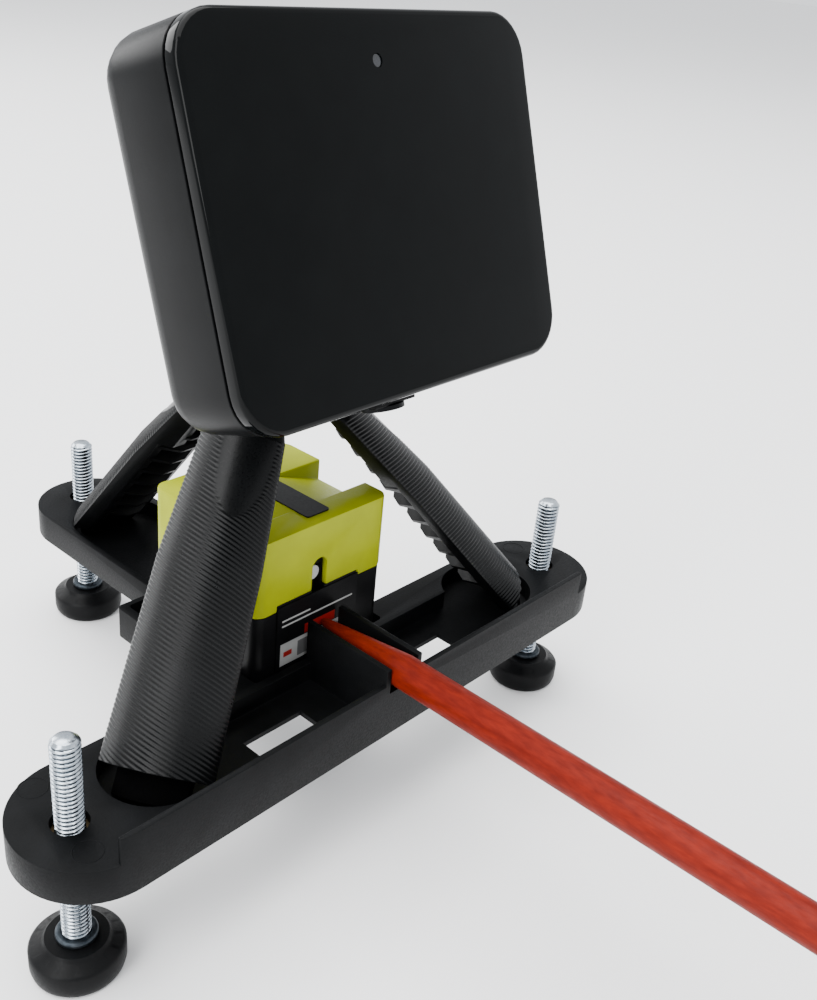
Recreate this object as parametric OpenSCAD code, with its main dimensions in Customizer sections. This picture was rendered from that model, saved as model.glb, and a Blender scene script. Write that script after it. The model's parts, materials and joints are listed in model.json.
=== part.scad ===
// Radar launch monitor on a folding tripod, standing in a levelling alignment base
// with a cross-line laser level and an alignment rod.
// Millimetres. +Z is up, the rod points along -Y, X runs along the base's front bar.
// The origin is on the floor, under the middle of the back levelling foot.

/* [Alignment base] */
// Half distance between the middles of the two front lobes
bar_half = 70; // [66:0.5:72]
// Radius of the front lobes, which is half the bar's depth
lobe_r = 16.4; // [16:0.1:18]
// Width of the stem that runs to the back lobe
stem_w = 30; // [28:0.5:34]
// Distance from the front bar's middle to the back lobe's middle
stem_len = 105.5; // [105:0.5:107]
// Height of the base's underside above the floor
under_z = 30; // [28:0.5:31]
// Height of the deck above the floor
deck_z = 38; // [37.5:0.5:39]
// Height of the front rim above the floor
rim_z = 44.3; // [43:0.1:45]
// Thickness of the front rim
rim_t = 1.4; // [1.2:0.1:2]
// Height of the sunk floor between the lobes
sunk_z = 33.2; // [32.8:0.1:33.4]

/* [Levelling feet] */
// Distance of each front levelling screw from the middle
screw_x = 75; // [74:0.5:76]
// Distance of the back levelling screw behind the front ones
screw_y = 110; // [109.5:0.5:111]
// Radius of the screws, which are M6
screw_r = 2.95; // [2.9:0.01:2.97]
// Height of the two front screws' tops
front_screw_top = 58; // [52:0.1:60]
// Height of the back screw's top
back_screw_top = 55; // [52:0.1:60]
// Radius of the round foot pads
pad_r = 9.7; // [9:0.1:11]

/* [Tripod] */
// Distance of the tripod's middle behind the front bar's middle
tripod_y = 32; // [31.5:0.5:32.5]
// Angle of each leg below the horizontal
leg_angle = 50; // [49:0.5:51]
// Length of each leg's shell
leg_len = 72; // [70:0.5:73]
// Outer radius of the leg's shell at its foot
leg_r_foot = 14.7; // [14:0.1:15]
// Outer radius of the leg's shell at its top
leg_r_top = 11.2; // [10.5:0.1:12]
// Thickness of the leg's shell
leg_t = 1.8; // [1.4:0.1:2.2]
// Number of cross ribs inside each leg
leg_ribs = 10; // [8:1:11]

/* [Launch monitor head] */
// Width of the head
head_w = 90; // [88:0.5:92]
// Height of the head
head_h = 71; // [70:0.5:73]
// Depth of the head
head_d = 25; // [24:0.5:26]
// Corner radius of the head, seen from the front
head_corner = 9; // [7:0.5:11]
// How far the head leans back
head_tilt = 18.6; // [15:0.1:22]
// Height of the middle of the head's front face
head_z = 146.3; // [146:0.1:147]

/* [Laser level] */
// Width of the laser level
laser_w = 41; // [38:0.5:41.5]
// Depth of the laser level's bumper
laser_d = 37.5; // [35:0.5:37.5]
// Height of the laser level's top above the floor
laser_top = 73; // [72:0.5:73.5]

/* [Alignment rod] */
// Diameter of the alignment rod
rod_d = 7.94; // [7.8:0.01:8]
// Length of the rod
rod_len = 215; // [150:5:300]
// Length of the rod's sharpened tip
rod_point = 26; // [15:1:35]

/* [Hidden] */
$fn = 48;

screw_top = [front_screw_top, front_screw_top, back_screw_top];
screw_at = [[-screw_x, 0], [screw_x, 0], [0, screw_y]];
hole_r = 3.8;              // clearance hole through the deck round each screw
insert_bore = 3.0;         // bore of the brass inserts, a running fit on the screws
insert_top = 36;
pad_top = 8;               // crown of the foot pads
pad_side = 6.1;            // top of the foot pads' straight side
flange_z = 8.2;             // underside of the thin lock ring on each screw
flange_r = 4.3;
flange_t = 1.4;

channel_in = 4.25;         // half width of the rod channel
channel_out = 5.7;         // half width over the channel's walls
channel_floor = 41.9;
channel_top = 48.5;
channel_back = 9.2;
sunk_front = -lobe_r + rim_t;
sunk_back = 7.3;
recess_r = 12;             // recesses for the tripod's front legs
recess_at = [53.5, 2];
back_recess_r = 13;
back_recess_y = 91.5;
pocket_in = laser_w / 2 + 0.4;
pocket_out = pocket_in + 2.5;  // half width over the laser pocket
pocket_y0 = 9.6;
pocket_y1 = 60;
pocket_z = 26;
pocket_floor = 27.4;
pocket_side_z = 34.5;

leg_azimuth = [210, 330, 90];
pin_s = 8;                 // leg hinge pins: distance from the tripod's middle
fold_s = 11.5;             // upper end of a leg's fold axis, from the tripod's middle
fold_z = 88.3;
pin_up = 15;               // the pin lies this far above the fold axis's upper end
pin_z = 104.9;
pin_r = 1.5;
pin_fit = 1.55;            // running bore on the hinge pins
hub_r = 12;
hub_z0 = 98;
hub_z1 = 112;
lug_w = 7.4;
hinge_y = 16;              // tilt hinge, in front of the hub
hinge_z = 101;
hinge_r = 4;

face_y = -3;               // middle of the head's front face
cover_t = 3.2;             // thickness of the glossy cover's edge
wall = 1.8;                // thickness of the housing's walls
case_screw_x = 33;         // the four screws that close the head
case_screw_z = 23.5;
case_screw_r = 1;
boss_r = 2.4;
board_y = 8.6;             // front face of the main board
insert_y = 13;             // mounting insert in the head's underside
plate_z = -head_h / 2 - 0.1;
laser_y = 10.5;            // front face of the laser level
laser_bottom = 27.6;
laser_split = 55.5;        // top of the laser's black body, seen from the front
laser_corner = 3;
lip = 1.6;                 // the bumper's lower edge drops by this beside the label
mark_x = -1.5;             // the laser's slot and label sit a little left of its middle
mark_w = 25.6;
slot_w = 4.4;
rod_r = rod_d / 2;
rod_z = channel_floor + 0.05 + rod_r;
rod_tip_y = 9.9;

// ---------- shared shapes ----------

// Shapes are laid out from the front bar's middle; this moves them so that the back
// levelling foot stands at the origin
module placed() {
    translate([0, -screw_y, 0]) children();
}

// A flat shape with rounded corners, centred, w along X and h along Y
module rounded_rect(w, h, r) {
    square([w - 2 * r, h], center = true);
    square([w, h - 2 * r], center = true);
    for (sx = [-1, 1], sy = [-1, 1])
        translate([sx * (w / 2 - r), sy * (h / 2 - r)]) circle(r);
}

// An upright block with rounded upright edges, from z0 to z1
module rounded_block(w, d, r, z0, z1) {
    translate([0, 0, z0]) linear_extrude(z1 - z0) rounded_rect(w, d, r);
}

// A capsule-shaped block between two points on the plan, from z0 to z1
module stadium(a, b, r, z0, z1) {
    length = norm(b - a);
    turn = atan2(b[1] - a[1], b[0] - a[0]);
    translate([a[0], a[1], z0]) rotate([0, 0, turn]) {
        cylinder(r = r, h = z1 - z0);
        translate([length, 0, 0]) cylinder(r = r, h = z1 - z0);
        translate([0, -r, 0]) cube([length, 2 * r, z1 - z0]);
    }
}

// A rounded tablet lying face down at z = 0: plan corner radius r, edge fillets
// of radius f0 at its face and f1 at its back, thickness t
module tablet(w, h, t, r, f0, f1) {
    steps = 6;
    face_fillet = [for (i = [0:steps]) let(a = -90 + 90 * i / steps)
        [r - f0 + f0 * cos(a), f0 + f0 * sin(a)]];
    back_fillet = [for (i = [0:steps]) let(a = 90 * i / steps)
        [r - f1 + f1 * cos(a), t - f1 + f1 * sin(a)]];
    profile = concat([[0, 0]], face_fillet, back_fillet, [[0, t]]);
    hull() {
        for (sx = [-1, 1], sy = [-1, 1])
            translate([sx * (w / 2 - r), sy * (h / 2 - r), 0])
                rotate_extrude($fn = 32) polygon(profile);
    }
}

// Places children from the head's own frame: x to the right, y from the front
// face towards the back, z up along the face, from the middle of the face
module in_head() {
    translate([0, face_y, head_z]) rotate([-head_tilt, 0, 0]) children();
}

// Places a tablet's children so that the tablet's face looks forward in the head's frame
module facing_front(y) {
    translate([0, y, 0]) rotate([-90, 0, 0]) children();
}

// Places children from leg i's own frame: x outwards from the fold axis, z down the leg
module in_leg(i) {
    translate([0, tripod_y, 0]) rotate([0, 0, leg_azimuth[i]])
        translate([fold_s, 0, fold_z]) rotate([0, 90 + leg_angle, 0])
            rotate([0, 0, 180]) children();
}

// Places children on the axes of the head's four screws, pointing to the back from depth y
module at_case_screws(y) {
    for (sx = [-1, 1], sz = [-1, 1])
        translate([sx * case_screw_x, y, sz * case_screw_z]) rotate([-90, 0, 0]) children();
}

// Places children on screw i's axis
module at_screw(i) {
    translate([screw_at[i][0], screw_at[i][1], 0]) children();
}

// ---------- alignment base ----------

module base_plan_solid(z0, z1) {
    stadium([-bar_half, 0], [bar_half, 0], lobe_r, z0, z1);
    translate([0, stem_len, z0]) cylinder(r = stem_w / 2, h = z1 - z0);
    translate([-stem_w / 2, 0, z0]) cube([stem_w, stem_len, z1 - z0]);
}

// The rim along the front, trimmed to the plan so that its ends follow the lobes
module front_rim() {
    rim_left = -74.5;
    rim_right = 70.5;
    intersection() {
        union() {
            translate([rim_left, -lobe_r, under_z])
                cube([-channel_in - rim_left, rim_t, rim_z - under_z]);
            translate([channel_in, -lobe_r, under_z])
                cube([rim_right - channel_in, rim_t, rim_z - under_z]);
        }
        base_plan_solid(under_z, rim_z);
    }
}

module rod_channel() {
    length = channel_back + lobe_r;
    for (sx = [-1, 1])
        translate([sx > 0 ? channel_in : -channel_out, -lobe_r, under_z + 2])
            cube([channel_out - channel_in, length, channel_top - under_z - 2]);
    translate([-channel_out, -lobe_r, under_z + 2])
        cube([2 * channel_out, length, channel_floor - under_z - 2]);
}

module laser_pocket_solid() {
    depth = pocket_y1 - pocket_y0 + 2;
    translate([0, pocket_y0 - 2 + depth / 2, 0])
        rounded_block(2 * pocket_out, depth, 1.5, pocket_z, pocket_side_z);
}

module sunk_floor_cut() {
    recess_x = recess_at[0];
    for (sx = [-1, 1]) {
        translate([sx > 0 ? channel_out : -recess_x, sunk_front, sunk_z])
            cube([recess_x - channel_out, sunk_back - sunk_front, 40]);
        translate([sx * recess_x, recess_at[1], sunk_z]) cylinder(r = recess_r, h = 40);
    }
}

// The windows, and the relief underneath that leaves only a thin floor round them
module floor_windows() {
    window_in = 15.5;
    window_out = 32.4;
    relief_in = 12;
    relief_out = 36;
    floor_t = 1.4;
    for (sx = [-1, 1]) {
        translate([sx > 0 ? window_in : -window_out, -9.5, under_z - 1])
            cube([window_out - window_in, 9.6, 10]);
        translate([sx > 0 ? relief_in : -relief_out, -13, under_z - 1])
            cube([relief_out - relief_in, 17, sunk_z - floor_t - under_z + 1]);
    }
}

module stem_cuts() {
    wall = 1.7;
    translate([-stem_w / 2 + wall, pocket_y1 + 2, sunk_z])
        cube([stem_w - 2 * wall, back_recess_y - pocket_y1 - 2, 20]);
    translate([0, back_recess_y, sunk_z]) cylinder(r = back_recess_r, h = 20);
}

module pocket_cut() {
    depth = pocket_y1 - 1.6 - pocket_y0;
    translate([0, pocket_y0 + depth / 2, 0])
        rounded_block(2 * pocket_in, depth, 1, pocket_floor, 60);
}

module screw_cuts() {
    for (i = [0:2])
        at_screw(i) {
            translate([0, 0, under_z - 1]) cylinder(r = hole_r, h = 30);
            translate([0, 0, under_z + 0.5]) cylinder(r = 4.6, h = insert_top - under_z - 0.5);
        }
}

module base_frame() {
    color("#1b1c1e") placed() difference() {
        union() {
            difference() {
                union() {
                    base_plan_solid(under_z, deck_z);
                    front_rim();
                    laser_pocket_solid();
                }
                sunk_floor_cut();
            }
            rod_channel();
        }
        pocket_cut();
        stem_cuts();
        floor_windows();
        screw_cuts();
    }
}

// A brass insert with a waist, pressed up into the base from below
module insert(i) {
    color("#b08d4f") placed() at_screw(i) difference() {
        union() {
            translate([0, 0, under_z + 0.6]) cylinder(r = 4.5, h = 2.2);
            translate([0, 0, under_z + 2.8]) cylinder(r = 4.1, h = 0.8);
            translate([0, 0, under_z + 3.6]) cylinder(r = 4.5, h = insert_top - under_z - 3.7);
        }
        translate([0, 0, under_z]) cylinder(r = insert_bore, h = 20);
    }
}

module insert_1() { insert(0); }
module insert_2() { insert(1); }
module insert_3() { insert(2); }

// ---------- levelling feet ----------

module stud(i) {
    chamfer = 0.9;
    top = screw_top[i];
    color("#c9ccd0") placed() at_screw(i) rotate_extrude()
        polygon([[0, 2.2], [screw_r - chamfer, 2.2], [screw_r, 2.2 + chamfer],
            [screw_r, top - chamfer], [screw_r - chamfer, top], [0, top]]);
}

module flange(i) {
    color("#c9ccd0") placed() at_screw(i) difference() {
        translate([0, 0, flange_z]) rotate_extrude()
            polygon([[0, 0], [flange_r, 0], [flange_r, flange_t - 0.4], [flange_r - 0.4, flange_t],
                [0, flange_t]]);
        translate([0, 0, flange_z - 1]) cylinder(r = screw_r, h = flange_t + 2);
    }
}

module foot_pad(i) {
    profile = [[0, 0], [pad_r - 1, 0], [pad_r - 0.3, 0.8], [pad_r, 2], [pad_r, pad_side - 0.6],
        [pad_r - 0.5, pad_side], [pad_r - 2.6, pad_side + 0.9], [6.4, pad_top], [0, pad_top]];
    color("#161719") placed() at_screw(i) difference() {
        rotate_extrude() polygon(profile);
        translate([0, 0, 2]) cylinder(r = insert_bore, h = 20);
    }
}

module stud_1() { stud(0); }
module stud_2() { stud(1); }
module stud_3() { stud(2); }
module flange_1() { flange(0); }
module flange_2() { flange(1); }
module flange_3() { flange(2); }
module foot_pad_1() { foot_pad(0); }
module foot_pad_2() { foot_pad(1); }
module foot_pad_3() { foot_pad(2); }

// ---------- tripod ----------

// Hub: a drum with three slots for the legs' lugs and a fork in front for the tilt hinge
module tripod_hub() {
    ear_in = 4.2;
    ear_out = 7.6;
    color("#1a1b1d") placed() difference() {
        union() {
            translate([0, tripod_y, hub_z0]) cylinder(r = hub_r, h = hub_z1 - hub_z0);
            for (sx = [-1, 1])
                translate([sx > 0 ? ear_in : -ear_out, hinge_y, 0]) {
                    translate([0, 0, hinge_z - hinge_r])
                        cube([ear_out - ear_in, 8, 2 * hinge_r]);
                    translate([0, 0, hinge_z]) rotate([0, 90, 0])
                        cylinder(r = hinge_r, h = ear_out - ear_in);
                }
        }
        translate([0, tripod_y, 0]) for (a = leg_azimuth) rotate([0, 0, a]) {
            translate([3.4, -lug_w / 2 - 0.3, hub_z0 - 1])
                cube([20, lug_w + 0.6, pin_z + hinge_r + 0.6 - hub_z0 + 1]);
            translate([pin_s, -7, pin_z]) rotate([-90, 0, 0]) cylinder(r = pin_r, h = 14);
        }
        translate([-ear_out - 1, hinge_y, hinge_z]) rotate([0, 90, 0])
            cylinder(r = pin_fit, h = 2 * ear_out + 2);
    }
}

module hub_cap() {
    color("#242628") placed() translate([0, tripod_y, hub_z1 + 0.05])
        rotate_extrude() polygon([[0, 0], [9, 0], [9, 0.8], [7.6, 1.6], [0, 1.9]]);
}

module leg_pin(i) {
    color("#9fa2a6") placed() translate([0, tripod_y, 0]) rotate([0, 0, leg_azimuth[i]])
        translate([pin_s, -6.2, pin_z]) rotate([-90, 0, 0]) cylinder(r = pin_r, h = 12.4);
}

// The wedge of one leg's share of the folded tripod, a little under a third
module leg_wedge(z0, z1) {
    reach = 30;
    half = 58;
    translate([0, 0, z0]) linear_extrude(z1 - z0)
        polygon([[0, 0], [reach * cos(half), -reach * sin(half)], [2 * reach, -reach],
            [2 * reach, reach], [reach * cos(half), reach * sin(half)]]);
}

module leg_shell() {
    neck = 3;
    outer = [[0, -neck], [leg_r_top - 1.2, -neck], [leg_r_top, 0],
        [leg_r_foot - 0.9, 0.4 * leg_len], [leg_r_foot, leg_len], [0, leg_len]];
    inner = [[0, 1], [leg_r_top - leg_t, 1], [leg_r_foot - 0.9 - leg_t, 0.4 * leg_len],
        [leg_r_foot - leg_t, leg_len + 1], [0, leg_len + 1]];
    intersection() {
        difference() {
            rotate_extrude() polygon(outer);
            rotate_extrude() polygon(inner);
        }
        leg_wedge(-neck, leg_len);
        translate([3.4, -20, -10]) cube([40, 40, 200]);
    }
}

// Smooth side walls along the wedge's two faces, deeper at the leg's neck
module leg_sides() {
    neck_len = 22;
    intersection() {
        difference() {
            leg_wedge(0, leg_len);
            translate([leg_t / sin(58), 0, 0]) leg_wedge(-1, leg_len + 1);
        }
        rotate_extrude() polygon([[0, 0], [leg_r_top, 0], [leg_r_foot - 0.9, 0.4 * leg_len],
            [leg_r_foot, leg_len], [0, leg_len]]);
        union() {
            translate([5.5, -20, 0]) cube([40, 40, leg_len]);
            translate([3.4, -20, 0]) cube([40, 40, neck_len]);
        }
    }
}

// One cross rib, which ends in a tooth that narrows and thins towards the wedge's tip
module leg_rib(z) {
    r = leg_r_top + (leg_r_foot - leg_r_top) * min(1, z / (0.5 * leg_len)) - 1;
    rib_t = 1.7;
    inner = 2.6;
    intersection() {
        translate([0, 0, z]) cylinder(r = r, h = rib_t);
        translate([0, 0, z]) linear_extrude(rib_t)
            polygon([[inner, -2], [5.5, -7.4], [9, -13.4], [40, -30], [40, 30], [9, 13.4],
                [5.5, 7.4], [inner, 2]]);
        rotate([90, 0, 0]) linear_extrude(40, center = true)
            polygon([[inner, z + 0.45], [7, z], [40, z], [40, z + rib_t], [7, z + rib_t],
                [inner, z + rib_t - 0.45]]);
    }
}

// The lug from the shell's top to the hinge pin
module leg_lug() {
    translate([pin_s, lug_w / 2, -pin_up]) rotate([90, 0, 0]) cylinder(r = 3.6, h = lug_w);
    translate([0, lug_w / 2, 0]) rotate([90, 0, 0]) linear_extrude(lug_w)
        polygon([[pin_s - 3.6, -pin_up], [pin_s + 3.6, -pin_up], [leg_r_top - 1, -3.2],
            [leg_r_top - 1, -0.5], [4, -0.5], [4, -4]]);
}

module leg(i) {
    first = 5;
    pitch = (leg_len - 9.5) / leg_ribs;
    color("#151618") placed() in_leg(i) difference() {
        union() {
            leg_shell();
            leg_sides();
            leg_lug();
            for (k = [0:leg_ribs - 1]) leg_rib(first + k * pitch);
        }
        translate([pin_s, 10, -pin_up]) rotate([90, 0, 0]) cylinder(r = pin_fit, h = 20);
    }
}

// Rubber tip below the shell, cut level where it stands on the sunk floor
module leg_tip(i) {
    color("#0f1011") placed() difference() {
        in_leg(i) intersection() {
            translate([0, 0, leg_len + 0.05]) cylinder(r = 11.4, h = 6);
            leg_wedge(leg_len, leg_len + 6);
            translate([6, -8, leg_len]) cube([20, 16, 6.1]);
        }
        translate([-200, -200, sunk_z + 0.15 - 20]) cube([400, 400, 20]);
    }
}

module leg_pin_1() { leg_pin(0); }
module leg_pin_2() { leg_pin(1); }
module leg_pin_3() { leg_pin(2); }
module leg_1() { leg(0); }
module leg_2() { leg(1); }
module leg_3() { leg(2); }
module leg_tip_1() { leg_tip(0); }
module leg_tip_2() { leg_tip(1); }
module leg_tip_3() { leg_tip(2); }

// ---------- tilt hinge ----------

module tilt_pin() {
    color("#9fa2a6") placed() translate([-8.4, hinge_y, hinge_z]) rotate([0, 90, 0])
        cylinder(r = pin_r, h = 17.6);
}

module tilt_knob() {
    color("#17181a") placed() translate([8, hinge_y, hinge_z]) rotate([0, 90, 0]) difference() {
        cylinder(r = 3.8, h = 3.6, $fn = 12);
        translate([0, 0, -1]) cylinder(r = pin_r, h = 2.2);
    }
}

// The plate under the head, with the knuckle that turns between the hub's ears
module tilt_plate() {
    knuckle = 7.6;
    drop = head_z - hinge_z;
    reach = hinge_y - face_y;
    hinge_along = reach * cos(head_tilt) + drop * sin(head_tilt);
    hinge_up = reach * sin(head_tilt) - drop * cos(head_tilt);
    color("#1a1b1d") placed() in_head() difference() {
        union() {
            translate([-6, 9, plate_z - 2.5]) cube([12, 15, 2.5]);
            translate([-knuckle / 2, 23, plate_z - 2.5])
                cube([knuckle, hinge_along - 23, 2.5]);
            translate([-knuckle / 2, hinge_along, hinge_up]) rotate([0, 90, 0])
                cylinder(r = hinge_r - 0.4, h = knuckle);
        }
        translate([-10, hinge_along, hinge_up]) rotate([0, 90, 0])
            cylinder(r = pin_fit, h = 20);
        translate([0, insert_y, plate_z - 5]) cylinder(r = 3.3, h = 10);
    }
}

module mount_screw() {
    color("#9fa2a6") placed() in_head() translate([0, insert_y, 0]) {
        translate([0, 0, plate_z - 3.5]) cylinder(r = 4.6, h = 0.95);
        translate([0, 0, plate_z - 2.6]) cylinder(r = 3.1, h = 10.5);
    }
}

module mount_insert() {
    color("#b08d4f") placed() in_head() difference() {
        translate([0, insert_y, -head_h / 2 + 0.4]) cylinder(r = 5, h = 9);
        translate([0, insert_y, -head_h / 2 - 1]) cylinder(r = 3.12, h = 9.2);
    }
}

// ---------- head ----------

module front_cover() {
    boss_end = board_y - 0.1;
    color("#08090a") placed() in_head() difference() {
        union() {
            difference() {
                facing_front(0) tablet(head_w, head_h, cover_t, head_corner, 1.2, 0.2);
                facing_front(2) tablet(head_w - 2 * wall, head_h - 2 * wall, 4,
                    head_corner - wall, 0.2, 0.2);
            }
            at_case_screws(1.8) cylinder(r = boss_r, h = boss_end - 1.8);
        }
        at_case_screws(3) cylinder(r = case_screw_r, h = 8);
        translate([0, -1, 26.3]) rotate([-90, 0, 0]) cylinder(r = 1.25, h = 4);
    }
}

module light_gasket() {
    y0 = cover_t + 0.05;
    color("#050505") placed() in_head() translate([0, y0, 0]) rotate([-90, 0, 0])
        linear_extrude(0.5) difference() {
            rounded_rect(head_w - 1, head_h - 1, head_corner - 0.5);
            rounded_rect(head_w - 4, head_h - 4, head_corner - 2);
        }
}

module rear_housing() {
    y0 = cover_t + 0.6;
    depth = head_d - y0;
    tube_y = board_y + 1.3;
    color("#1d1e20") placed() in_head() difference() {
        union() {
            difference() {
                facing_front(y0) tablet(head_w, head_h, depth, head_corner, 0.2, 7);
                facing_front(y0 - 1) tablet(head_w - 2 * wall, head_h - 2 * wall,
                    depth + 1 - wall, head_corner - wall, 0.1, 5.5);
            }
            at_case_screws(tube_y) cylinder(r = boss_r, h = head_d - 0.6 - tube_y);
            translate([0, insert_y, -head_h / 2 + 1]) cylinder(r = 6.8, h = 8);
        }
        at_case_screws(tube_y - 1) cylinder(r = case_screw_r + 0.1, h = head_d);
        at_case_screws(head_d - 1.3) cylinder(r = 2.1, h = 3);
        translate([0, insert_y, -head_h / 2 - 1]) cylinder(r = 5.05, h = 10.5);
        translate([head_w / 2 - 4, 12, 12]) rotate([0, 90, 0]) cylinder(r = 3.9, h = 6);
        translate([head_w / 2 - 4, 12, -8]) cube([8, 8.4, 13], center = true);
    }
}

// Four screws put in from the back, through the housing's tubes and the main board,
// into the front cover's bosses
module housing_screws() {
    color("#8f9296") placed() in_head() at_case_screws(0) difference() {
        union() {
            translate([0, 0, 3.6]) cylinder(r = case_screw_r, h = head_d - 4.8);
            translate([0, 0, head_d - 1.25]) cylinder(r = 1.9, h = 0.9);
        }
        translate([0, 0, head_d - 0.9]) cylinder(r = 0.9, h = 2, $fn = 6);
    }
}

module status_light() {
    color("#30343a") placed() in_head() translate([0, 0.25, 26.3]) rotate([-90, 0, 0])
        cylinder(r = 1.15, h = 2.4);
}

module antenna_board() {
    color("#12351f") placed() in_head() difference() {
        translate([-38, 4.6, -29]) cube([76, 1.2, 52]);
        at_case_screws(4) cylinder(r = boss_r + 0.3, h = 4);
    }
}

module main_board() {
    top_y = board_y + 1.2;
    color("#143a22") placed() in_head() {
        difference() {
            translate([-38, board_y, -25.8]) cube([76, 1.2, 54.8]);
            at_case_screws(board_y - 1) cylinder(r = case_screw_r + 0.1, h = 4);
        }
        translate([-12, top_y, 4]) cube([16, 1.4, 16]);
        translate([14, top_y, 8]) cube([10, 1.2, 10]);
        translate([-30, top_y, 10]) cube([8, 1.8, 8]);
    }
}

module battery_pack() {
    color("#3a3f46") placed() in_head() translate([-4, 15.4, -9]) rotate([-90, 0, 0])
        linear_extrude(5.4) rounded_rect(52, 26, 2);
}

module usb_socket() {
    color("#a5a8ac") placed() in_head() difference() {
        translate([head_w / 2 - 9, 9.9, -12]) cube([6, 3, 8]);
        translate([head_w / 2 - 7, 10.4, -11.4]) cube([6, 2, 6.8]);
    }
}

// Flap over the charging socket, hinged on the round lower edge of its plate
module usb_flap() {
    axis_x = head_w / 2 - 1.3;
    axis_z = -13.2;
    plate_y = 8.2;
    plate_d = 7.6;
    color("#222427") placed() in_head() {
        translate([axis_x - 1, plate_y, axis_z]) cube([2, plate_d, 11.4]);
        translate([axis_x, plate_y, axis_z]) rotate([-90, 0, 0]) cylinder(r = 1, h = plate_d);
        translate([head_w / 2 - 3.6, 10.5, -11.2]) cube([1.4, 1.8, 6]);
    }
}

module power_button() {
    color("#2a2c2f") placed() in_head() translate([head_w / 2 - 3.2, 12, 12]) rotate([0, 90, 0]) {
        cylinder(r = 3.6, h = 3);
        translate([0, 0, -0.8]) cylinder(r = 2.2, h = 0.9);
    }
}

// ---------- laser level ----------

module laser_block(inset, z0, z1) {
    translate([0, laser_y + laser_d / 2, 0])
        rounded_block(laser_w - 2 * inset, laser_d - 2 * inset, laser_corner - inset, z0, z1);
}

module laser_body() {
    skin = 1.6;
    color("#17181a") placed() difference() {
        union() {
            laser_block(0.2, laser_bottom, laser_split - lip - 0.2);
            laser_block(skin + 0.1, laser_split - lip - 0.2, 63.6);
            translate([mark_x - mark_w / 2 + 0.3, laser_y + 0.2, laser_split - 4])
                cube([mark_w - 0.6, 4, 3.9]);
        }
        translate([mark_x - slot_w / 2 + 0.2, laser_y - 1, 52]) cube([slot_w - 0.4, 4.6, 9]);
        translate([-4.7, laser_y + laser_d - 2, 40.9]) cube([9.4, 3, 6.2]);
        translate([-15, laser_y + laser_d - 1.6, laser_bottom - 1]) cube([30, 2, 14.5]);
    }
}

// The dips between the corner horns: each falls from the top's middle to the side,
// slopes down behind the front horn and ends at a wall before the back one
module bumper_dips() {
    start_x = 4.5;
    side_x = laser_w / 2 + 0.5;
    side_z = laser_top - 5.7;
    front_y = laser_y + 8;
    wall_y = laser_y + 24;
    top_z = laser_top + 0.05;
    for (sx = [-1, 1])
        intersection() {
            translate([0, wall_y + 20, 0]) rotate([90, 0, 0]) linear_extrude(60)
                polygon([[sx * start_x, top_z], [sx * side_x, side_z], [sx * side_x, top_z + 9],
                    [sx * start_x, top_z + 9]]);
            rotate([90, 0, 90]) linear_extrude(60, center = true)
                polygon([[front_y, top_z], [front_y + 7, laser_top - 6], [wall_y, laser_top - 6],
                    [wall_y, top_z + 9], [front_y, top_z + 9]]);
        }
}

module laser_bumper() {
    skin = 1.6;
    color("#b8d400") placed() difference() {
        union() {
            laser_block(0, laser_split, laser_top);
            difference() {
                laser_block(0, laser_split - lip, laser_split);
                translate([mark_x - mark_w / 2, laser_y - 1, laser_split - 4])
                    cube([mark_w, 40, 5]);
                translate([-30, laser_y + 7, laser_split - 4]) cube([60, laser_d - 14, 5]);
            }
        }
        laser_block(skin, laser_split - 5, 63.8);
        bumper_dips();
        translate([mark_x - slot_w / 2, laser_y - 1, laser_split - 1]) cube([slot_w, 5, 6.8]);
        translate([mark_x, laser_y - 1, laser_split + 5.8]) rotate([-90, 0, 0])
            cylinder(r = slot_w / 2, h = 5);
    }
}

module laser_back() {
    color("#1d1f21") placed() translate([-13, laser_y + laser_d + 0.05, 52]) cube([26, 1.4, 17]);
}

module laser_lens() {
    color("#c4c7cb") placed() translate([mark_x, laser_y + 2.15, 58.6]) rotate([-90, 0, 0])
        cylinder(r = 1.8, h = 1.4);
}

module laser_label() {
    color("#dedede") placed() translate([mark_x - mark_w / 2, laser_y - 0.2, 37.6])
        cube([mark_w, 0.35, laser_split - 0.6 - 37.6]);
}

module laser_nameplate() {
    color("#3a3c3f") placed() translate([0.3, laser_y + 12.4, laser_top + 0.02])
        rounded_block(7, 18.5, 0.8, 0, 0.35);
}

module laser_switch() {
    color("#b8d400") placed() translate([-2.4, laser_y + laser_d - 1.95, 42])
        cube([3.6, 2.6, 4]);
}

module battery_door() {
    color("#202224") placed() translate([-14.8, laser_y + laser_d - 1.5, laser_bottom + 0.2])
        cube([29.6, 1.2, 13]);
}

// ---------- alignment rod ----------

module alignment_rod() {
    tip_r = 0.7;
    color("#c8471f") placed() translate([0, rod_tip_y, rod_z]) rotate([90, 0, 0]) rotate_extrude()
        polygon([[0, 0], [tip_r, 0], [tip_r + 0.5, 1.2], [rod_r, rod_point],
            [rod_r, rod_len - 0.8], [rod_r - 0.8, rod_len], [0, rod_len]]);
}

base_frame();
insert_1();
insert_2();
insert_3();
stud_1();
stud_2();
stud_3();
flange_1();
flange_2();
flange_3();
foot_pad_1();
foot_pad_2();
foot_pad_3();
tripod_hub();
hub_cap();
leg_pin_1();
leg_pin_2();
leg_pin_3();
leg_1();
leg_2();
leg_3();
leg_tip_1();
leg_tip_2();
leg_tip_3();
tilt_pin();
tilt_knob();
tilt_plate();
mount_screw();
mount_insert();
front_cover();
light_gasket();
rear_housing();
housing_screws();
status_light();
antenna_board();
main_board();
battery_pack();
usb_socket();
usb_flap();
power_button();
laser_body();
laser_bumper();
laser_back();
laser_lens();
laser_label();
laser_nameplate();
laser_switch();
battery_door();
alignment_rod();
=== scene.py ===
import json
import math

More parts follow.
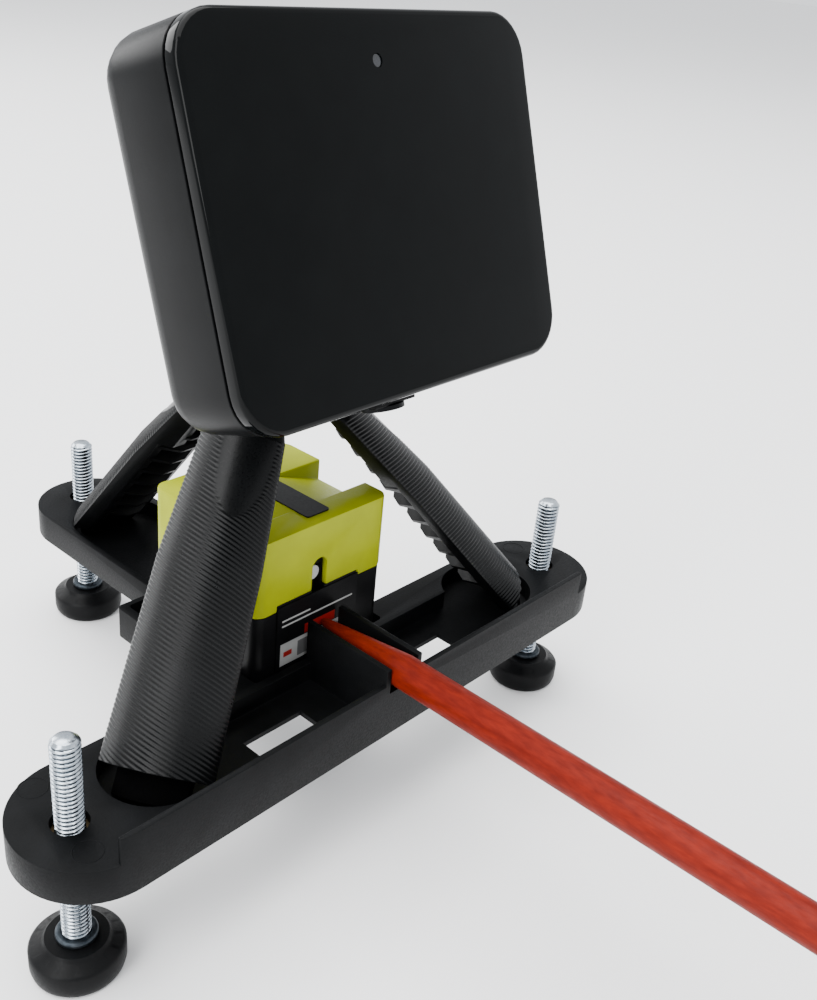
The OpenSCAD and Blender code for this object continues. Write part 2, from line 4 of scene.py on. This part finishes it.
import bmesh
import bpy
from mathutils import Matrix, Vector

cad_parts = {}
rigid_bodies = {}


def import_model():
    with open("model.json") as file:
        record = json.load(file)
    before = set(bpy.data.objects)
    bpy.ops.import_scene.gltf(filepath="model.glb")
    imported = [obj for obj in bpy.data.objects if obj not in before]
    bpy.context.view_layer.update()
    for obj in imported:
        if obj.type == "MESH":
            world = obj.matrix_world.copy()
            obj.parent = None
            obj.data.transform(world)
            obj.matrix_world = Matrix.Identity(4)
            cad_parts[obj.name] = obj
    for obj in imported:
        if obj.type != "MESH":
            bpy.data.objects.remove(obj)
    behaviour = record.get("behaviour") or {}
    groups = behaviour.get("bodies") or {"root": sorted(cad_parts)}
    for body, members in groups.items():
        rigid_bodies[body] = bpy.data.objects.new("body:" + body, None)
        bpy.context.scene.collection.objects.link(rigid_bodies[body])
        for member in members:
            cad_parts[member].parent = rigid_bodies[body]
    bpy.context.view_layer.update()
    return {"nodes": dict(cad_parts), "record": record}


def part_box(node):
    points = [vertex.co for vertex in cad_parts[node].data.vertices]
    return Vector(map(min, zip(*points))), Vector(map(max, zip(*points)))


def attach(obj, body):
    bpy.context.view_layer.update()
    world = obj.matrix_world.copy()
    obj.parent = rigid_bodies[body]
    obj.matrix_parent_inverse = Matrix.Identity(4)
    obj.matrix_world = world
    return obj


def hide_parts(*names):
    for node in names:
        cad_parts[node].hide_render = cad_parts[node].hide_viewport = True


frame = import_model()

MM = 0.001
BACK_FOOT = Vector((0, 110, 0)) * MM      # the part's origin, from the front bar's middle
BODY_OF = {n: b for b, names in frame["record"]["behaviour"]["bodies"].items() for n in names}


# ---------- materials ----------

def graph(name):
    mat = bpy.data.materials.new(name)
    mat.use_nodes = True
    tree = mat.node_tree
    return mat, tree, tree.nodes["Principled BSDF"]


def add(tree, kind, **values):
    node = tree.nodes.new(kind)
    for key, value in values.items():
        setattr(node, key, value)
    return node


def noise(tree, vector, size_mm, detail=3.0, roughness=0.55):
    node = add(tree, "ShaderNodeTexNoise")
    node.inputs["Scale"].default_value = 1000 / size_mm
    node.inputs["Detail"].default_value = detail
    node.inputs["Roughness"].default_value = roughness
    tree.links.new(vector, node.inputs["Vector"])
    return node.outputs["Fac"]


def ramp(tree, factor, low, high, start=0.3, end=0.7):
    node = add(tree, "ShaderNodeMapRange")
    node.inputs["From Min"].default_value = start
    node.inputs["From Max"].default_value = end
    node.inputs["To Min"].default_value = low
    node.inputs["To Max"].default_value = high
    tree.links.new(factor, node.inputs["Value"])
    return node.outputs["Result"]


def mixed(tree, factor, a, b):
    node = add(tree, "ShaderNodeMix", data_type="RGBA")
    node.inputs[6].default_value = (*a, 1)
    node.inputs[7].default_value = (*b, 1)
    tree.links.new(factor, node.inputs[0])
    return node.outputs[2]


def surface(name, low, high, rough, grain_mm, depth_mm, cloud_mm=9.0, metallic=0.0,
            coat=0.0, specular=0.5, stretch=(1, 1, 1)):
    """A cloudy colour between low and high, an uneven roughness and a fine grain."""
    mat, tree, shader = graph(name)
    coords = add(tree, "ShaderNodeTexCoord").outputs["Object"]
    mapping = add(tree, "ShaderNodeMapping")
    mapping.inputs["Scale"].default_value = stretch
    tree.links.new(coords, mapping.inputs["Vector"])
    vector = mapping.outputs["Vector"]
    cloud = noise(tree, vector, cloud_mm)
    grain = noise(tree, vector, grain_mm, detail=2.0)
    colour = mixed(tree, ramp(tree, cloud, 0, 1), low, high)
    tree.links.new(colour, shader.inputs["Base Color"])
    tree.links.new(ramp(tree, grain, rough[0], rough[1]), shader.inputs["Roughness"])
    bump = add(tree, "ShaderNodeBump")
    bump.inputs["Distance"].default_value = depth_mm * MM
    bump.inputs["Strength"].default_value = 1.0
    tree.links.new(grain, bump.inputs["Height"])
    tree.links.new(bump.outputs["Normal"], shader.inputs["Normal"])
    shader.inputs["Metallic"].default_value = metallic
    shader.inputs["Coat Weight"].default_value = coat
    shader.inputs["Coat Roughness"].default_value = 0.05
    shader.inputs["Specular IOR Level"].default_value = specular
    return mat


LOOKS = {
    "base": surface("base_moulding", (0.0019, 0.0021, 0.0023), (0.0042, 0.0045, 0.0050),
                    (0.38, 0.54), 0.5, 0.035, specular=0.06),
    "leg": surface("leg_moulding", (0.0012, 0.0013, 0.0014), (0.0026, 0.0028, 0.0031),
                   (0.32, 0.46), 0.5, 0.015, specular=0.07),
    "ridge": surface("ridged_grip", (0.0012, 0.0014, 0.0015), (0.0028, 0.0031, 0.0034),
                     (0.26, 0.36), 0.5, 0.008, specular=0.16),
    # black rubber, darkened further as painted shade where the tips sit in the deck recesses
    "tip": surface("leg_tip_rubber_and_recess_shade", (0.0006, 0.0006, 0.0007), (0.0012, 0.0012, 0.0014),
                   (0.75, 0.92), 0.4, 0.03, specular=0.02),
    "pad": surface("foot_pad_rubber", (0.0020, 0.0021, 0.0023), (0.0044, 0.0046, 0.0050),
                   (0.36, 0.50), 0.6, 0.03, specular=0.10),
    "zinc": surface("zinc_plating", (0.30, 0.35, 0.40), (0.58, 0.63, 0.68),
                    (0.18, 0.30), 0.35, 0.003, 2.5, metallic=1.0),
    # dull steel for the flanges, also painted into the stud thread valleys as shade
    "root": surface("dull_steel_and_painted_valley_shade", (0.018, 0.024, 0.030), (0.060, 0.070, 0.080),
                    (0.38, 0.52), 0.35, 0.004, 1.5, metallic=1.0),
    "dark_steel": surface("dark_steel", (0.0030, 0.0033, 0.0036), (0.0060, 0.0065, 0.0070),
                          (0.40, 0.52), 0.35, 0.004, specular=0.08),
    "steel": surface("turned_steel", (0.30, 0.31, 0.33), (0.42, 0.43, 0.45),
                     (0.25, 0.4), 0.3, 0.006, metallic=1.0),
    "brass": surface("dull_brass", (0.035, 0.026, 0.014), (0.07, 0.05, 0.026),
                     (0.45, 0.6), 0.3, 0.006, metallic=1.0),
    "gloss": surface("gloss_cover", (0.0008, 0.0011, 0.0012), (0.0013, 0.0017, 0.0018),
                     (0.03, 0.05), 3.0, 0.0004, specular=0.09),
    "satin": surface("satin_housing", (0.0013, 0.0015, 0.0016), (0.0026, 0.0029, 0.0032),
                     (0.30, 0.42), 0.28, 0.010, specular=0.075),
    "gasket": surface("dark_gasket", (0.0008, 0.0008, 0.0008), (0.0016, 0.0016, 0.0016),
                      (0.6, 0.8), 0.4, 0.01, specular=0.05),
    "lime": surface("lime_bumper", (0.27, 0.305, 0.0005), (0.35, 0.39, 0.0010),
                    (0.34, 0.48), 0.5, 0.015, 14, specular=0.11),
    "laser": surface("laser_case", (0.0024, 0.0024, 0.0027), (0.0046, 0.0046, 0.0052),
                     (0.34, 0.48), 0.4, 0.02, specular=0.10),
    "silver": surface("silver_lens", (0.40, 0.41, 0.43), (0.56, 0.57, 0.60),
                      (0.25, 0.35), 0.4, 0.003),
    "plate": surface("blank_plate", (0.0030, 0.0032, 0.0036), (0.0060, 0.0062, 0.0070),
                     (0.34, 0.46), 0.6, 0.004, specular=0.10),
    "lens": surface("smoked_light", (0.006, 0.007, 0.009), (0.012, 0.014, 0.018),
                    (0.08, 0.14), 0.5, 0.002, coat=0.3),
    "board": surface("solder_mask", (0.006, 0.05, 0.02), (0.01, 0.08, 0.035),
                     (0.3, 0.4), 1.0, 0.01, 2),
    "cell": surface("wrapped_cell", (0.03, 0.035, 0.045), (0.05, 0.055, 0.07),
                    (0.3, 0.45), 1.5, 0.01),
    "rod": surface("orange_rod", (0.098, 0.0042, 0.0010), (0.165, 0.0090, 0.0024),
                   (0.36, 0.58), 0.6, 0.05, 1.1, specular=0.11, stretch=(1, 0.25, 1)),
    "white": surface("label_white", (0.33, 0.33, 0.32), (0.43, 0.43, 0.42),
                     (0.35, 0.45), 0.8, 0.004, specular=0.2),
    "red": surface("label_red", (0.26, 0.007, 0.006), (0.34, 0.013, 0.010),
                   (0.35, 0.45), 0.8, 0.004, specular=0.2),
    "grey": surface("label_grey", (0.08, 0.08, 0.08), (0.13, 0.13, 0.13),
                    (0.35, 0.45), 0.8, 0.004, specular=0.2),
}
NODES_WITH = {
    "base": ["base_frame"],
    "leg": ["hub_cap", "tilt_knob", "tripod_hub", "tilt_plate", "leg_1", "leg_2", "leg_3"],
    "tip": ["leg_tip_1", "leg_tip_2", "leg_tip_3"],
    "pad": ["foot_pad_1", "foot_pad_2", "foot_pad_3"],
    "zinc": ["stud_1", "stud_2", "stud_3"],
    "root": ["flange_1", "flange_2", "flange_3"],
    "dark_steel": ["mount_screw"],
    "steel": ["tilt_pin", "housing_screws", "usb_socket", "leg_pin_1", "leg_pin_2", "leg_pin_3"],
    "brass": ["mount_insert", "insert_1", "insert_2", "insert_3"],
    "gloss": ["front_cover"],
    "satin": ["rear_housing", "power_button"],
    "gasket": ["light_gasket", "usb_flap"],
    "lens": ["status_light"],
    "board": ["antenna_board", "main_board"],
    "cell": ["battery_pack"],
    "lime": ["laser_bumper", "laser_switch"],
    "laser": ["laser_body", "laser_back", "laser_label", "battery_door"],
    "silver": ["laser_lens"],
    "plate": ["laser_nameplate"],
    "rod": ["alignment_rod"],
}
LOOK_OF = {node: look for look, nodes in NODES_WITH.items() for node in nodes}


def wear(obj, look):
    obj.data.materials.clear()
    obj.data.materials.append(LOOKS[look])


for node_name, obj in frame["nodes"].items():
    for part_obj in [obj, *obj.children_recursive]:
        if part_obj.type == "MESH":
            for part_slot in part_obj.material_slots:
                part_slot.material = LOOKS[LOOK_OF[node_name]]


# ---------- pieces ----------

def piece(name, mesh, look, body):
    obj = bpy.data.objects.new(name, mesh)
    bpy.context.scene.collection.objects.link(obj)
    wear(obj, look)
    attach(obj, body)
    return obj


def smooth(mesh, degrees=32):
    for face in mesh.polygons:
        face.use_smooth = True
    mesh.set_sharp_from_angle(angle=math.radians(degrees))


def refined(node, bevel_mm=0.0, degrees=32):
    """The CAD node's own shape with its facets joined, edges rounded and curves smooth."""
    source = frame["nodes"][node]
    if source.type != "MESH":
        source = [o for o in source.children_recursive if o.type == "MESH"][0]
    mesh = source.data.copy()
    work = bmesh.new()
    work.from_mesh(mesh)
    bmesh.ops.remove_doubles(work, verts=work.verts, dist=0.002 * MM)
    bmesh.ops.dissolve_limit(work, angle_limit=math.radians(1.0), verts=work.verts,
                             edges=work.edges)
    if bevel_mm:
        sharp = [e for e in work.edges if len(e.link_faces) == 2
                 and e.calc_face_angle(0) > math.radians(degrees)]
        bmesh.ops.bevel(work, geom=sharp, offset=bevel_mm * MM, segments=2, profile=0.6,
                        affect="EDGES", clamp_overlap=True)
    work.to_mesh(mesh)
    work.free()
    smooth(mesh, degrees)
    obj = piece(node + "_shown", mesh, LOOK_OF[node], BODY_OF[node])
    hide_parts(node)


def grid_mesh(name, rows, closed):
    """A mesh through rows of points. When closed, each row is a ring and both ends have a cap."""
    mesh = bpy.data.meshes.new(name)
    count = len(rows[0])
    points = [p for row in rows for p in row]
    faces = []
    for j in range(len(rows) - 1):
        for k in range(count if closed else count - 1):
            n = (k + 1) % count
            faces.append((j * count + k, j * count + n, (j + 1) * count + n, (j + 1) * count + k))
    if closed:
        faces.append(tuple(range(count))[::-1])
        faces.append(tuple((len(rows) - 1) * count + k for k in range(count)))
    mesh.from_pydata(points, [], faces)
    mesh.update()
    return mesh


def threaded_stud(number):
    """An M6 stud with its helical thread, chamfered ends and darker steel painted into the thread
    valleys as shade.
    """
    low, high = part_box("stud_" + number)
    middle = (low + high) / 2
    crest = (high.x - low.x) / 2
    pitch, depth, chamfer = 1.0 * MM, 0.58 * MM, 0.9 * MM
    crest_flat, flank_run = 0.16, 0.68    # as shares of half a pitch
    painted_shade_below = 0.62                     # valleys deeper than this share get the darker steel as painted shade
    around, per_turn = 40, 9
    count = int((high.z - low.z) / pitch * per_turn)
    rows = []
    for j in range(count + 1):
        z = low.z + (high.z - low.z) * j / count
        row = []
        for k in range(around):
            turn = k / around
            phase = (z / pitch - turn) % 1.0
            flank = min(1.0, max(0.0, (abs(phase - 0.5) * 2 - crest_flat) / flank_run))
            edge = max(0.0, chamfer - (high.z - z), chamfer - (z - low.z))
            r = min(crest - depth * (1 - flank), crest - edge)
            x = middle.x + r * math.cos(turn * math.tau)
            y = middle.y + r * math.sin(turn * math.tau)
            row.append((x, y, z))
        rows.append(row)
    mesh = grid_mesh("thread_" + number, rows, True)
    smooth(mesh, 50)
    obj = piece("stud_%s_shown" % number, mesh, "zinc", BODY_OF["stud_" + number])
    # second slot: darker steel painted into the deep thread valleys as shade
    mesh.materials.append(LOOKS["root"])
    for face in mesh.polygons:
        if len(face.vertices) == 4 and low.z + chamfer < face.center.z < high.z - chamfer:
            reach = math.hypot(face.center.x - middle.x, face.center.y - middle.y)
            face.material_index = int(reach < crest - painted_shade_below * depth)
    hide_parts("stud_" + number)


TRIPOD_AXIS = (0, 32, 0)         # from the front bar's middle
LEG_HINGE = (11.5, 0, 88.3)      # from the tripod's axis, before a leg is turned to its azimuth
LEG_LEAN = 140                   # degrees from straight up to the way a leg points
LEG_AZIMUTHS = {"1": 210, "2": 330, "3": 90}


def leg_matrix(azimuth):
    """From a leg's own frame, x outwards and z down the leg, to the part's frame."""
    return (Matrix.Translation(Vector(TRIPOD_AXIS) * MM - BACK_FOOT)
            @ Matrix.Rotation(math.radians(azimuth), 4, "Z")
            @ Matrix.Translation(Vector(LEG_HINGE) * MM)
            @ Matrix.Rotation(math.radians(LEG_LEAN), 4, "Y")
            @ Matrix.Rotation(math.pi, 4, "Z"))


def leg_radius(z):
    """Outer radius of a leg, z mm below the top of its neck."""
    top_r, neck_r = 11.2, 13.8
    neck_len, body_len = 28.8, 43.2
    if z < 0:
        return top_r + 1.2 * z / 3
    if z < neck_len:
        return top_r + 2.6 * z / neck_len
    return neck_r + 0.9 * (z - neck_len) / body_len


def ridged_skin(number):
    """The leg's outer face with its fine slanted ridges and the smooth patch at its neck."""
    place = leg_matrix(LEG_AZIMUTHS[number])
    pitch, height, half = 1.0, 0.36, 57.6     # half is the face's half width in degrees
    top, bottom, step, columns = -2.9, 71.9, 0.12, 60
    slant, mean_r = 0.42, 12.5
    patch_len, patch_at, patch_share = 19, -17, 0.55
    lift, patch_height, fade = 0.03, 0.45, 4
    rows = []
    z = top
    while z <= bottom:
        row = []
        for k in range(columns + 1):
            angle = -half + 2 * half * k / columns
            across = (angle - patch_at) / half
            reach = patch_len * math.sqrt(max(0.0, 1 - (across / patch_share) ** 2))
            plain = min(1.0, max(0.0, (reach - z) / 0.6))
            edge = min(1.0, (half - abs(angle)) / fade)
            along = z + slant * mean_r * math.radians(angle)
            ridge = (0.5 - 0.5 * math.cos(math.tau * along / pitch)) ** 0.7
            raised = height * edge * (ridge * (1 - plain) + patch_height * plain)
            r = leg_radius(z) + lift + raised
            turn = math.radians(angle)
            row.append(place @ (Vector((r * math.cos(turn), r * math.sin(turn), z)) * MM))
        rows.append(row)
        z += step
    mesh = grid_mesh("ridges_" + number, rows, False)
    smooth(mesh, 60)
    piece("leg_%s_ridges" % number, mesh, "ridge", BODY_OF["leg_" + number])


LABEL_LOOKS = ("laser", "white", "red", "grey")
LABEL_BLOCKS = [        # left, bottom, right, top as shares of the label, then look and layer
    (0, 0, 1, 1, "laser", 0),
    (0.05, 0.05, 0.95, 0.40, "white", 1),
    (0.34, 0.42, 0.72, 0.56, "red", 3),
    (0.06, 0.75, 0.40, 0.775, "white", 1),
    (0.06, 0.67, 0.94, 0.695, "white", 1),
    (0.09, 0.18, 0.19, 0.26, "red", 2),
    (0.26, 0.10, 0.52, 0.34, "grey", 2),
    (0.66, 0.10, 0.90, 0.34, "grey", 2),
]
BOX_FACES = ((0, 1, 2, 3), (7, 6, 5, 4), (0, 4, 5, 1), (1, 5, 6, 2), (2, 6, 7, 3), (3, 7, 4, 0))


def blank_label():
    """The laser's front panel with plain blocks of colour and no lettering."""
    low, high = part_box("laser_label")
    size = high - low
    layer_mm = 0.02
    points, faces, looks = [], [], []
    for x0, z0, x1, z1, look, layer in LABEL_BLOCKS:
        front = low.y - layer_mm * MM * layer
        first = len(points)
        for y in (front, high.y):
            for u, v in ((x0, z0), (x1, z0), (x1, z1), (x0, z1)):
                points.append((low.x + size.x * u, y, low.z + size.z * v))
        for face in BOX_FACES:
            faces.append([first + k for k in face])
            looks.append(LABEL_LOOKS.index(look))
    mesh = bpy.data.meshes.new("label_blocks")
    mesh.from_pydata(points, [], faces)
    obj = piece("laser_label_shown", mesh, "laser", BODY_OF["laser_label"])
    for look in LABEL_LOOKS[1:]:
        mesh.materials.append(LOOKS[look])
    for face, index in zip(mesh.polygons, looks):
        face.material_index = index
    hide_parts("laser_label")


def ejector_marks():
    """Faint raised rings left by the mould's ejector pins on the deck."""
    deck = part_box("base_frame")[0].z + 12.0 * MM      # the deck is 12 mm over the underside
    centres = ((-76.8, -8.8), (-75.3, 12.4), (76.2, 10.2))
    profile = ((2.75, -0.02), (2.82, 0.05), (2.98, 0.05), (3.05, -0.02))    # radius, lift
    around = 48
    points, faces = [], []
    for cx, cy in centres:
        first = len(points)
        for k in range(around):
            turn = math.tau * k / around
            for radius, lift in profile:
                spot = Vector((cx + radius * math.cos(turn), cy + radius * math.sin(turn), lift))
                points.append(spot * MM - BACK_FOOT + Vector((0, 0, deck)))
        for k in range(around):
            a = first + 4 * k
            b = first + 4 * ((k + 1) % around)
            for m in range(3):
                faces.append((a + m, a + m + 1, b + m + 1, b + m))
    mesh = bpy.data.meshes.new("ejector_rings")
    mesh.from_pydata(points, [], faces)
    smooth(mesh)
    piece("ejector_marks", mesh, "base", BODY_OF["base_frame"])


blank_label()
ejector_marks()
for number in "123":
    threaded_stud(number)
for number in "123":
    ridged_skin(number)
refined("base_frame", 0.35)
refined("laser_bumper", 0.45)
refined("laser_body", 0.4)
refined("laser_back", 0.3)
refined("front_cover")
refined("rear_housing")
refined("tripod_hub", 0.3)
refined("tilt_plate", 0.3)
refined("hub_cap")
refined("alignment_rod", degrees=20)
for number in "123":
    refined("leg_" + number, 0.2)
    refined("leg_tip_" + number, 0.3)
    refined("foot_pad_" + number)
    refined("flange_" + number, 0.25)


# ---------- stage, light and camera ----------

def stage():
    mesh = bpy.data.meshes.new("floor")
    reach = 6.0
    corners = [(-reach, -reach, 0), (reach, -reach, 0), (reach, reach, 0), (-reach, reach, 0)]
    mesh.from_pydata(corners, [], [(0, 1, 2, 3)])
    floor = bpy.data.objects.new("floor", mesh)
    bpy.context.scene.collection.objects.link(floor)
    mat, _, shader = graph("pale_floor")
    shader.inputs["Base Color"].default_value = (0.92, 0.92, 0.92, 1)
    shader.inputs["Roughness"].default_value = 0.9
    floor.data.materials.append(mat)
    world = bpy.data.worlds.new("studio")
    bpy.context.scene.world = world
    world.use_nodes = True
    background = world.node_tree.nodes["Background"]
    background.inputs["Color"].default_value = (0.95, 0.97, 1.0, 1)
    background.inputs["Strength"].default_value = 1.40


def soft_light(name, place, target, size, watts):
    lamp = bpy.data.lights.new(name, "AREA")
    lamp.shape = "RECTANGLE"
    lamp.size, lamp.size_y = size
    lamp.energy = watts
    obj = bpy.data.objects.new(name, lamp)
    bpy.context.scene.collection.objects.link(obj)
    obj.location = place
    obj.rotation_euler = (Vector(target) - Vector(place)).to_track_quat("-Z", "Y").to_euler()


def camera():
    """Yaw is from +Y towards +X, pitch is up from level, roll turns the frame about its axis."""
    place = Vector((-158.76, -144.51, 193.99))        # from the front bar's middle
    yaw, pitch, roll = (math.radians(a) for a in (50.26, -27.25, 5.81))
    ahead = Vector((math.sin(yaw) * math.cos(pitch), math.cos(yaw) * math.cos(pitch),
                    math.sin(pitch)))
    level = Vector((math.cos(yaw), -math.sin(yaw), 0))
    over = level.cross(ahead)
    right = level * math.cos(roll) + over * math.sin(roll)
    up = over * math.cos(roll) - level * math.sin(roll)
    data = bpy.data.cameras.new("camera")
    data.sensor_fit = "VERTICAL"
    data.sensor_height = 36
    data.lens = 40.14
    data.clip_start = 0.01
    obj = bpy.data.objects.new("camera", data)
    bpy.context.scene.collection.objects.link(obj)
    turn = Matrix((right, up, -ahead)).transposed().to_4x4()
    obj.matrix_world = Matrix.Translation(place * MM - BACK_FOOT) @ turn
    bpy.context.scene.camera = obj


stage()
soft_light("overhead", (-0.1, 0.1, 1.5), (0, -0.08, 0), (1.8, 1.8), 54)
soft_light("key", (-1.1, -0.25, 0.75), (0, -0.08, 0.08), (0.5, 1.1), 15)
soft_light("rim", (-0.35, 1.2, 0.6), (0, -0.08, 0.08), (1.0, 0.5), 10)
camera()
